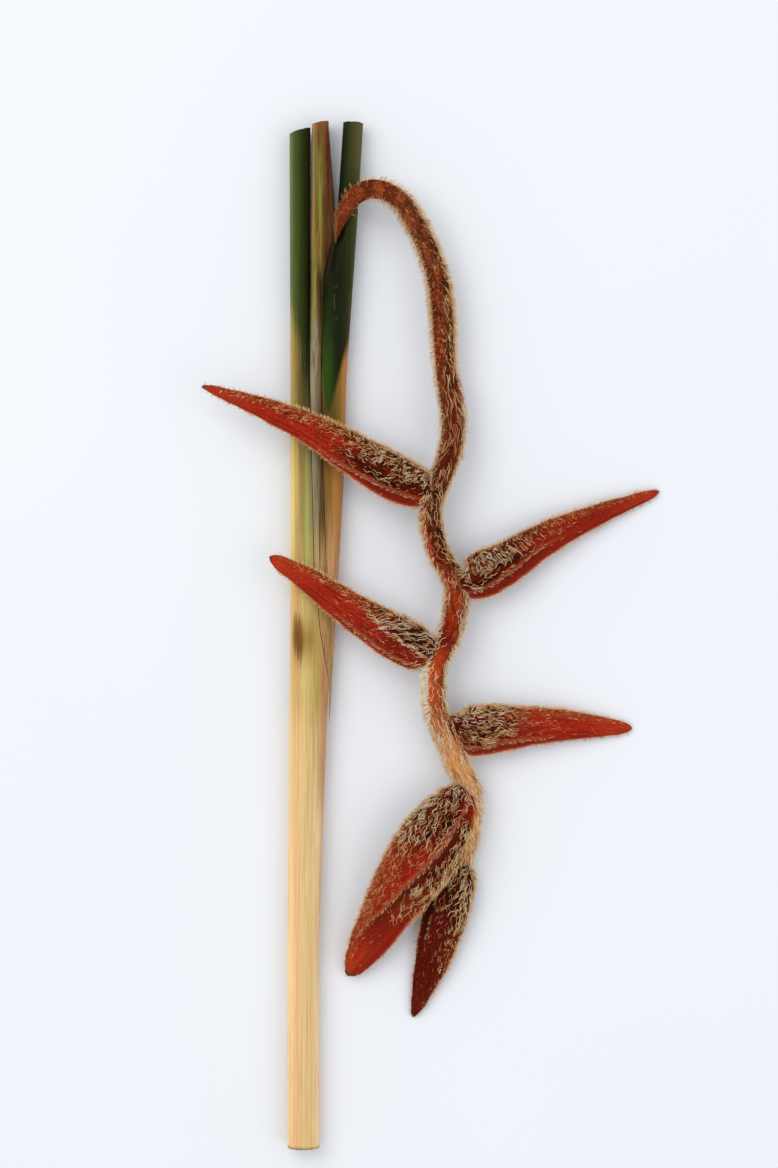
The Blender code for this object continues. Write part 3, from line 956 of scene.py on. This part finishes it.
def bract_marks(skin, look):
    """The numbers that a bract's skin carries for its paint."""
    share, u, front = skin.share, skin.u, skin.front
    beyond = np.minimum(skin.lip, look.inside) - u
    return {
        "wool": skin.wool,
        "inner": np.maximum(skin.inner, ease(beyond, 0.05, 0.2) * front * ease(share, 0.1, 0.2)),
        "dark": skin.dark,
        "dry": ease(share + 0.008 * ripple(skin.rings, 8 * MM, 6), 0.982 - look.blunt / 10, 0.998),
        "keel": ease(u, 0.3, 0.8),
        "edge": np.maximum(close_to(u, -1, 0.06), close_to(u, skin.lip, 0.06) * front * skin.opened),
        "rim": skin.rim_wool,
        "dusk": look.dusk * between(share, 0.3, 0.45, 0.8, 0.95) * ease(u, -0.6, -0.2),
    }


def make_bract(name, look, stalk, paint):
    """Adds a bract's piece. Gives its skin, with how thickly wool grows on it."""
    skin = bract_skin(name, look, stalk)
    wool_on_bract(skin, look)
    skin_object(name + "_skin", skin, paint, (name,), bract_marks(skin, look))
    return skin


def bract_columns(lip_turn, opened):
    """Turn angles of the columns round a bract. Also how deep each lies behind the near lip,
    and how much painted shade darkens the slot under that lip."""
    turns, inner, slot = [], [], []
    plain_flank, plain_back = np.zeros(FLANK), np.zeros(BACK)
    back = np.linspace(math.pi, 2 * math.pi, BACK + 2)[1:-1]
    for turn, gape in zip(lip_turn[:, 0], opened[:, 0]):
        flank = np.linspace(0, turn, FLANK, endpoint=False)
        lower = np.linspace(turn + math.radians(4), math.pi, LIP)
        far = (lower - turn) / (math.pi - turn)
        turns.append((*flank, *(turn + LEDGE_TURNS), *lower, *back))
        inner.append(np.array((*plain_flank, *LEDGE_DEPTHS, *(1 - far**2.5), *plain_back)) * gape)
        shade = fade(far, 0, 0.3) * 0.8
        slot.append(np.array((*plain_flank, *LEDGE_SHADE, *shade, *plain_back)) * gape)
    return np.array(turns), np.array(inner), np.array(slot)


def wool_on_bract(skin, look):
    """Sets how thickly wool grows on the parts of a bract, and how much painted shade darkens the skin
    under it.
    """
    share, u, face = skin.share, skin.u, skin.v > 0
    patchy = 0.45 + 0.55 * ease(ripple(skin.rings, 15 * MM, 21), -0.5, 0.25)
    near, full = 0.5 * look.keel_wool, look.keel_wool
    skin.keel_wool = ease(u, 0.2, 0.55) * fade(share, near, full)
    skin.golden = between(share, near, full, 0.84, 0.97) * look.golden
    skin.golden = skin.golden * ease(u, look.golden_from, look.golden_from + 0.35)
    edge = np.where(face, skin.lip, -0.95)
    flank = ease(u, edge + 0.02, edge + 0.2) * fade(share, 0.5 * look.flank_wool, look.flank_wool)
    skin.ridge = np.zeros_like(u)
    if look.ridge:
        above = u - along_table(look.ridge, share)
        end = look.ridge[-1][0]
        skin.ridge = close_to(above, 0, 0.06) * face * fade(share, end - 0.06, end)
        flank = flank * (0.3 + 0.7 * ease(above, -0.08, 0.05))
    far = ease(skin.lip - u, 0.06, 0.24) * face * ease(share, 0.08, 0.16)
    far = far * fade(share, 0.8 * look.far_wool, look.far_wool)
    flank = np.maximum(flank, far)
    skin.rim_wool = ease(-u, 0.72, 0.9) * ease(skin.v, -0.5, -0.2)
    skin.rim_wool = skin.rim_wool * fade(share, 0.7 * look.rim_wool, look.rim_wool)
    skin.flank_wool, skin.far_wool = flank * patchy, far * (look.far_wool > NO_REACH)
    end = look.sprinkled
    skin.sprinkle = ease(u, edge + 0.02, edge + 0.12) * between(share, 0.02, 0.1, end - 0.25, end)
    wool_shade = np.maximum(np.maximum(skin.keel_wool, 0.5 * np.minimum(skin.golden, 1)), flank)
    skin.wool = np.clip(wool_shade * (0.55 + 0.45 * patchy), 0, 1)


def bract_paint(name, age_and_shade):
    """Silky red, dried grey-brown at the tip, and on the old bract darker with age and with painted
    shade.

    Painted shade darkens it towards the base, half way out, under wool, in creases, in the slot under
    the near lip and over the far lip. Its pale edges are partly painted highlight.
    """
    paint = Paint(name, 0.5, 0.03)
    spots = paint.place()
    along, around = paint.lie()
    labels = ("wool", "inner", "dark", "dry", "keel", "edge", "rim", "dusk")
    wool, inner, dark, dry, keel, edge, rim, dusk = (paint.painted(label) for label in labels)
    streaks = paint.noise((along, around), (7, 34), 5.0)
    patches = paint.noise(spots, (0.05, 0.05, 0.05), 3.0, 0.55)
    fine = paint.noise(spots, (0.6, 0.6, 0.6))
    paint.colour = streaks.turn(0.3, 0.7, (116, 18, 7), (176, 40, 20))
    paint.lay(patches.ease(0.44, 0.68) * 0.45, 108, 20, 8)
    # Painted shade: darker towards the base, under the keel's wool.
    paint.lay(along.ease(0.5, 0.12) * 0.35, 96, 20, 9)
    # Painted shade half way out, on the bracts that have it.
    paint.lay(dusk, 112, 24, 12)
    paint.lay(along.ease(0.7, 0.96) * 0.35, 200, 70, 34)
    paint.lay(fine.ease(0.5, 0.68) * 0.22, 206, 96, 58)
    paint.lay(keel * 0.45, 164, 74, 34)
    # Painted shade over the far lip, darkest next to the near lip that overhangs it.
    paint.lay(inner * 0.55, 112, 24, 9)
    # Paler along the far edge and the near lip: partly the bract's own pale rim, partly a painted
    # highlight.
    paint.lay(edge * 0.7, 220, 128, 90)
    # The old bract: darker with age, and with painted shade from the bract that lies over it.
    paint.lay(age_and_shade, 46, 7, 3)
    paint.lay(rim * 0.8, 186, 122, 68)
    # Under the wool the skin turns dark: painted shade between the hairs, darkest towards the base.
    wool_shade = fine.turn(0.42, 0.62, (26, 8, 3), (82, 22, 9))
    outer = fine.turn(0.42, 0.62, (96, 32, 12), (142, 62, 28))
    paint.lay(wool * 0.92, paint.mix(along.ease(0.35, 0.62), wool_shade, outer))
    # Painted shade in the creases and in the slot under the near lip.
    paint.lay(dark * 0.88, 22, 8, 3)
    withered = fine.turn(0.4, 0.6, (70, 44, 32), (128, 94, 70))
    paint.lay(dry, withered)
    return paint.finish(streaks + fine * 0.5, 0.7, wool.ease(0, 1, 0.45, 0.85))


# ---------------------------------------------------------------- wool and down


class Fleece:
    """Hairs of one tone, gathered from all over the stalk or all the bracts into one piece."""

    def __init__(self, name, material, slot):
        self.name = name
        self.material = material
        self.slot = slot
        self.hairs = []

    def build(self):
        points, faces, offset = [], [], 0
        for paths, radii in self.hairs:
            spots, corners = hair_shapes(paths, radii)
            points.append(spots)
            faces.append(corners + offset)
            offset += len(spots)
        points, faces = np.concatenate(points), np.concatenate(faces).tolist()
        add_piece(self.name, points, faces, self.material)


def hair_shapes(paths, radii):
    """Closed three-sided hairs that taper to a point: their points and triangles."""
    count, joints = paths.shape[:2]
    ahead = unit(np.gradient(paths, axis=1))
    side = unit(np.cross(ahead, np.roll(UP, 1) + ahead[:, :1] * 0.3 + UP * 0.1))
    other = np.cross(ahead, side)
    taper = 1 - 0.65 * np.linspace(0, 1, joints) ** 1.5
    size = radii[:, None] * taper
    corners = []
    for angle in (0, 2 * math.pi / 3, 4 * math.pi / 3):
        offset = side * math.cos(angle) + other * math.sin(angle)
        corners.append(paths + offset * size[..., None])
    rings = np.stack(corners, 2)[:, :-1]
    points = np.concatenate((rings.reshape(count, -1, 3), paths[:, -1:]), 1)
    pattern = [(0, 2, 1)]
    for ring in range(joints - 2):
        a, b = ring * 3, ring * 3 + 3
        for k in range(3):
            k2 = (k + 1) % 3
            pattern += [(a + k, a + k2, b + k2), (a + k, b + k2, b + k)]
    last, tip = (joints - 2) * 3, (joints - 1) * 3
    pattern += [(last + k, last + (k + 1) % 3, tip) for k in range(3)]
    per_hair = points.shape[1]
    faces = np.array(pattern)[None] + (np.arange(count) * per_hair)[:, None, None]
    return points.reshape(-1, 3), faces.reshape(-1, 3)


# How far under the skin hairs start, how near a lock's leader they join it, and how few aren't grown.
ROOT_DEPTH, LOCK_REACH, TOO_FEW = 0.3 * MM, 7 * MM, 4
# How hairs of each kind grow. length and width in mm; lift: how steeply they leave the skin, 1 straight
# out; fall: how much of that they lose; sweep and turns: how far and how often they swing from side to
# side; joints: points along a hair; lock: hairs to a lock and pull: how tightly it draws together;
# swirl: how much their direction wanders from place to place.
HairKind = namedtuple("HairKind", "length width lift fall sweep turns joints lock pull swirl")
WAVY = HairKind((9, 17), (0.46, 0.7), 0.26, 0.75, 0.7, (1.1, 2.0), 10, 4, 0.55, 0.3)
SHAG = HairKind((4.5, 8.5), (0.46, 0.7), 0.4, 0.6, 0.6, (0.6, 1.3), 6, 3, 0.5, 0.2)
COMB = HairKind((5, 9), (0.44, 0.66), 0.34, 0.6, 0.2, (0.3, 0.8), 6, 3, 0.5, 0.08)
COMBED = HairKind((12, 22), (0.42, 0.66), 0.2, 0.75, 0.3, (0.8, 1.6), 8, 5, 0.75, 0.12)
UNDER = HairKind((5, 9), (0.45, 0.7), 0.18, 0.8, 0.7, (0.5, 1.2), 5, 4, 0.6, 0.6)
RUFF = HairKind((4, 6.8), (0.65, 0.95), 0.8, 0.3, 0.35, (0.3, 0.8), 5, 3, 0.5, 0.2)
FRINGE = HairKind((3.2, 6.2), (0.3, 0.44), 0.8, 0.25, 0.4, (0.3, 0.8), 4, 2, 0.45, 0.3)
DOWN = HairKind((1.6, 3.2), (0.22, 0.34), 0.5, 0.4, 0.4, (0.3, 0.7), 3, 0, 0, 0.25)


def scatter(cells, count, rng):
    """Fractional rows and columns of hair roots, as thick over the cells as their numbers say."""
    odds = (cells / cells.sum()).ravel()
    chosen = rng.choice(odds.size, count, p=odds)
    row, column = np.divmod(chosen, cells.shape[1])
    return row + rng.random(count), column + rng.random(count)


def hair_paths(root, normal, comb, lengths, kind, rng):
    """Hairs that rise from the skin, lie over towards comb, and swing from side to side."""
    count, joints = len(root), kind.joints
    side = unit(np.cross(normal, comb))
    turns, phase = rng.uniform(*kind.turns, count), rng.uniform(0, 2 * math.pi, count)
    lift = np.clip(rng.normal(kind.lift, 0.1, count), 0.05, 1)
    path = np.empty((count, joints, 3))
    path[:, 0] = root - normal * ROOT_DEPTH
    for k in range(1, joints):
        t = (k - 0.5) / (joints - 1)
        angle = kind.sweep * np.sin(2 * math.pi * turns * t + phase)
        rise = (lift * (1 - kind.fall * t))[:, None]
        step = comb * np.cos(angle)[:, None] * (1 - rise)
        step = step + side * np.sin(angle)[:, None] * (1 - 0.5 * rise)
        path[:, k] = path[:, k - 1] + unit(step + normal * rise) * (lengths / (joints - 1))[:, None]
    return path


def gather(paths, lock, pull, rng):
    """Draws the hairs together into locks, more towards their ends."""
    leaders = rng.choice(len(paths), max(1, len(paths) // lock), replace=False)
    tree = KDTree(len(leaders))
    for i, leader in enumerate(leaders):
        tree.insert(paths[leader, 0], i)
    tree.balance()
    found = [tree.find(path[0]) for path in paths]
    own = leaders[[index for _, index, _ in found]]
    close = np.array([gap for _, _, gap in found]) < LOCK_REACH
    strength = pull * rng.uniform(0.7, 1.15, len(paths)) * close
    strength = strength[:, None] * np.linspace(0, 1, paths.shape[1]) ** 0.7
    return paths + (paths[own] - paths) * np.clip(strength, 0, 0.97)[..., None]


def grow(skin, fleeces, weight, density, kind, seed, lean=0.0, scale=1.0, **shares):
    """Grows hair on a skin, density hairs to a square millimetre where weight is 1.

    lean turns the hair from along the skin towards across it. shares deals it out to the fleeces
    of the tones that it names.
    """
    rng = np.random.default_rng(SEED + seed)
    cells = skin.cell_areas() * np.broadcast_to(weight, skin.rings.shape[:2])[:-1]
    count = int(cells.sum() * density)
    if count < TOO_FEW:
        return
    root, normal, along, across = skin.at(*scatter(cells, count, rng))
    angle = kind.swirl * 1.6 * ripple(root, 16 * MM, seed + 11) + lean + rng.normal(0, 0.16, count)
    comb = unit(along * np.cos(angle)[:, None] + across * np.sin(angle)[:, None])
    lengths = rng.uniform(*kind.length, count) * MM * scale
    paths = hair_paths(root, normal, comb, lengths, kind, rng)
    if kind.lock:
        paths = gather(paths, kind.lock, kind.pull, rng)
    radii = rng.uniform(*kind.width, count) * MM / 2
    paths[..., 2] = np.maximum(paths[..., 2], radii[:, None])
    odds = np.array(list(shares.values()))
    deal = rng.choice(len(odds), count, p=odds / odds.sum())
    for k, name in enumerate(shares):
        fleeces[name].hairs.append((paths[deal == k], radii[deal == k]))


HAIR_TONES = {
    "ivory": ((255, 252, 238), (253, 240, 210)),
    "cream": ((253, 228, 176), (240, 204, 146)),
    "tan": ((228, 176, 120), (198, 142, 90)),
    "brown": ((92, 44, 22), (54, 22, 10)),
    "gold": ((248, 200, 134), (230, 166, 102)),
    "rose": ((232, 166, 122), (196, 118, 78)),
    "ember": ((202, 78, 38), (168, 50, 24)),
}


def hair_paint(name, light, dark):
    """Hair of one tone that wanders a little from place to place."""
    paint = Paint(name, 0.7, 0.0)
    spots = paint.place()
    drift = paint.noise(spots, (0.12, 0.12, 0.12), 2.0, 0.5)
    dull = paint.noise(spots, (0.035, 0.035, 0.035), 2.0, 0.5)
    paint.colour = drift.turn(0.35, 0.65, light, dark)
    paint.dye(dull.ease(0.48, 0.66) * 0.15, 0.66, 0.64, 0.58)
    return paint.finish()


def topside(skin):
    """1 on what faces up and to the sides, less underneath, where the stem lies on it."""
    return 0.22 + 0.78 * ease(skin.normal[..., 2], -0.75, -0.15)


def make_hair(stalk, bracts):
    """Hair for the stalk and for the bracts, each in fleeces of every tone."""
    paints = {tint: hair_paint("hair_" + tint, *tones) for tint, tones in HAIR_TONES.items()}
    for owner in ("flower_stalk", "bract"):
        fleeces = {}
        for tint, paint in paints.items():
            fleeces[tint] = Fleece("%s_hair_%s_1" % (owner, tint), paint, owner)
        if owner == "flower_stalk":
            dress_stalk(stalk, fleeces)
        else:
            for number, (name, skin) in enumerate(bracts.items(), 1):
                dress_bract(skin, fleeces, BRACTS[name], 100 * number)
        for fleece in fleeces.values():
            fleece.build()


def dress_stalk(skin, fleeces):
    """Long locks combed down the stalk over dark roots, and upright down that shows at its edges."""
    hair = partial(grow, skin, fleeces)
    cover, share, to_right = topside(skin), skin.share, skin.normal[..., 0]
    sideways = fade(np.abs(skin.normal[..., 2]), 0.3, 0.8)
    clear, last = ease(share, 0.02, 0.06), ease(share, 0.78, 0.83)
    upper = fade(share, 0.45, 0.5)
    locks = upper * ease(share, 0.325, 0.345)
    middle = (1 - upper) * fade(share, 0.6, 0.68)
    wool = skin.wool * cover
    hair(wool * (1 - last), 0.03, UNDER, 1, brown=1)
    hair(wool * (upper - locks), 0.13, COMB, 2, 0.1, gold=3, cream=2, tan=3)
    hair(wool * locks, 0.075, COMBED, 14, rose=4, cream=3, tan=2, ember=2)
    hair(wool * middle, 0.055, WAVY, 3, rose=3, tan=4, cream=2)
    hair(wool * (1 - upper) * (1 - last), 0.06, SHAG, 12, 0.4, tan=3, rose=2, cream=2)
    hair(wool * (1 - upper - middle), 0.065, WAVY, 4, ivory=3, cream=3, rose=2)
    hair(wool * last, 0.06, COMBED, 5, ivory=2, cream=3, gold=2)
    arch, start = fade(share, 0.3, 0.4), 0.25 + 0.75 * ease(share, 0.08, 0.14)
    down = clear * cover
    hair(down * arch * start, 0.22, DOWN, 6, gold=3, ember=2, tan=2)
    hair(down * (1 - arch) * (1 - 0.7 * skin.wool), 0.1, DOWN, 7, ember=3, gold=2)
    edge = down * sideways * (0.1 + 0.9 * ease(share, 0.05, 0.15))
    hair(edge * arch, 0.62, FRINGE, 8, scale=1.4, gold=4, cream=2, tan=1)
    hair(edge * (1 - arch), 0.65, FRINGE, 9, cream=3, ivory=3, gold=2)
    hair(edge * ease(share, 0.4, 0.5), 0.12, SHAG, 10, 0.5, 0.9, cream=2, ivory=1)
    seam = between(share, 0.5, 0.53, 0.64, 0.68) * ease(-to_right, 0.6, 0.85) * cover
    hair(seam, 0.22, SHAG, 13, 0.3, 0.8, cream=3, rose=2)
    ruff = between(share, 0.69, 0.72, 0.77, 0.81) * ease(-to_right, 0.35, 0.7) * cover
    hair(ruff, 1.0, RUFF, 11, ivory=1)


def dress_bract(skin, fleeces, look, seed):
    """Shag on the keel, wavy wool on the flank, tufts at the base, fringes along the edges and down."""
    hair = partial(grow, skin, fleeces)
    cover, share, u = topside(skin), skin.share, skin.u
    base = fade(share, 0.2, 0.45)
    comb = look.comb * math.pi / 2
    thick, long = look.shag
    kind = COMB if look.straight else SHAG
    keel, flank = skin.keel_wool * cover, skin.flank_wool * cover * (1 - 0.7 * skin.keel_wool)
    hair(skin.wool * cover, 0.03, UNDER, seed + 1, brown=1)
    hair(keel * base, thick, kind, seed + 2, comb, long, cream=3, ivory=2, tan=3)
    hair(keel * (1 - base), thick, kind, seed + 3, comb, 0.8, cream=2, tan=3, gold=3)
    hair(skin.golden * cover, 0.26, SHAG, seed + 4, comb, 0.6, gold=3, tan=3, rose=2, ember=3)
    hair(flank * base, look.wool, WAVY, seed + 5, cream=4, tan=3, rose=2)
    sprinkled = cover * skin.sprinkle * (1 - skin.keel_wool)
    hair(sprinkled, 0.9 * look.wool, SHAG, seed + 6, 0.1, 0.9, rose=5, tan=3, ember=2)
    hair(skin.ridge * cover, 0.45, SHAG, seed + 7, 0.2, 1.1, ivory=2, cream=3)
    hair(skin.far_wool * cover, 0.055, WAVY, seed + 8, 0.3, cream=4, tan=3)
    hair(skin.rim_wool * cover, 0.11, COMBED, seed + 9, scale=0.8, cream=3, gold=3)
    tuft = cover * fade(share, 0.02, 0.08)
    hair(tuft, 0.1, WAVY, seed + 10, 0.8, 0.7, cream=3, ivory=2, tan=2)
    smooth = cover * (1 - 0.85 * skin.wool) * (1 - 0.5 * skin.inner)
    hair(smooth, 0.12, DOWN, seed + 11, ember=6, rose=1)
    hair(smooth, 0.008, SHAG, seed + 12, scale=0.7, rose=1, ember=3)
    edges = cover * close_to(np.abs(u), 1, 0.08)
    keel_edge, far_edge = edges * (u > 0) * (1 - 0.4 * ease(share, 0.7, 1)), edges * (u < 0)
    hair(keel_edge, 0.5, FRINGE, seed + 13, gold=3, cream=1)
    hair(far_edge * (1 - base), 0.45, FRINGE, seed + 14, scale=0.8, gold=3, cream=1, ember=1)
    hair(far_edge * base, 0.35, FRINGE, seed + 16, cream=3, gold=2)
    lip = close_to(u, skin.lip, 0.035) * (skin.v > 0) * skin.opened
    hair(lip, 0.45, SHAG, seed + 15, 0.6, 0.55, gold=3, cream=1, rose=2)


# ---------------------------------------------------------------- studio

LAMP_SIZE = 3.5
# The camera shows VIEW_HEIGHT metres at the flower's own height over the table. SENSOR is in mm.
SENSOR, CAMERA_HEIGHT, FLOWER_HEIGHT, VIEW_HEIGHT, AIM = 36, 3.03, 0.03, 1.168, (-0.0425, 0.0507)


def floor_paint():
    paint = Paint("pale_table", 0.75)
    drift = paint.noise(paint.place()[:2], (0.002, 0.002), 2.0, 0.5)
    paint.colour = paint.mix(drift, tone(230, 233, 238), tone(235, 238, 242))
    return paint.finish()


def make_floor():
    bpy.ops.mesh.primitive_plane_add(size=12, location=(0, 0, 0))
    floor = bpy.context.object
    floor.name = "table_top"
    floor.data.materials.append(floor_paint())


def soft_lamp(name, place, watts):
    """A square lamp that shines on the middle of the table."""
    lamp = bpy.data.lights.new(name, "AREA")
    lamp.shape = "SQUARE"
    lamp.size = LAMP_SIZE
    lamp.energy = watts
    holder = bpy.data.objects.new(name, lamp)
    holder.location = place
    holder.rotation_euler = (-Vector(place)).to_track_quat("-Z", "Y").to_euler()
    bpy.context.scene.collection.objects.link(holder)


def make_world(level):
    """Even pale light of that level from all round. The camera sees it at full strength."""
    world = bpy.data.worlds.new("studio")
    bpy.context.scene.world = world
    world.use_nodes = True
    nodes = Nodes(world.node_tree)
    background = nodes.tree.nodes["Background"]
    seen = nodes.node("ShaderNodeLightPath", output="Is Camera Ray")
    nodes.feed(background.inputs["Strength"], level + seen * (1 - level))
    nodes.feed(background.inputs["Color"], (0.96, 0.98, 1.0, 1.0))


def make_camera():
    """Looks straight down on the lying stem, a little to the left of its middle."""
    camera = bpy.data.cameras.new("camera")
    camera.sensor_width = SENSOR
    camera.lens = SENSOR * (CAMERA_HEIGHT - FLOWER_HEIGHT) / VIEW_HEIGHT
    camera.clip_end = 30
    holder = bpy.data.objects.new("camera", camera)
    holder.location = (*AIM, CAMERA_HEIGHT)
    bpy.context.scene.collection.objects.link(holder)
    bpy.context.scene.camera = holder


def make_studio():
    bpy.context.scene.view_settings.view_transform = "Standard"
    make_floor()
    make_world(0.72)
    soft_lamp("key_lamp", (-1.9, 1.5, 3.8), 81)
    soft_lamp("fill_lamp", (2.6, -0.9, 3.5), 37)
    make_camera()


def find_foot():
    """The middle of the cut foot in millimetres, across and along."""
    points, _ = node_shape(LEFT_LEAF)
    low = points[:, 1].min()
    end = points[points[:, 1] < low + MM]
    return (end[:, 0].min() + end[:, 0].max()) / 2 / MM, low / MM


def main():
    make_leaves(find_foot())
    line, radius = stalk_line()
    make_sheath_mouth(line, radius)
    stalk = make_stalk(line, radius)
    # The old bract is darker with age and with painted shade from the bract that lies over it.
    fresh, old_shaded = bract_paint("bract_skin", 0.0), bract_paint("old_shaded_bract_skin", 0.8)
    bracts = {}
    for name, look in BRACTS.items():
        bracts[name] = make_bract(name, look, line, old_shaded if name == "bract_6" else fresh)
    make_hair(stalk, bracts)
    make_studio()


main()
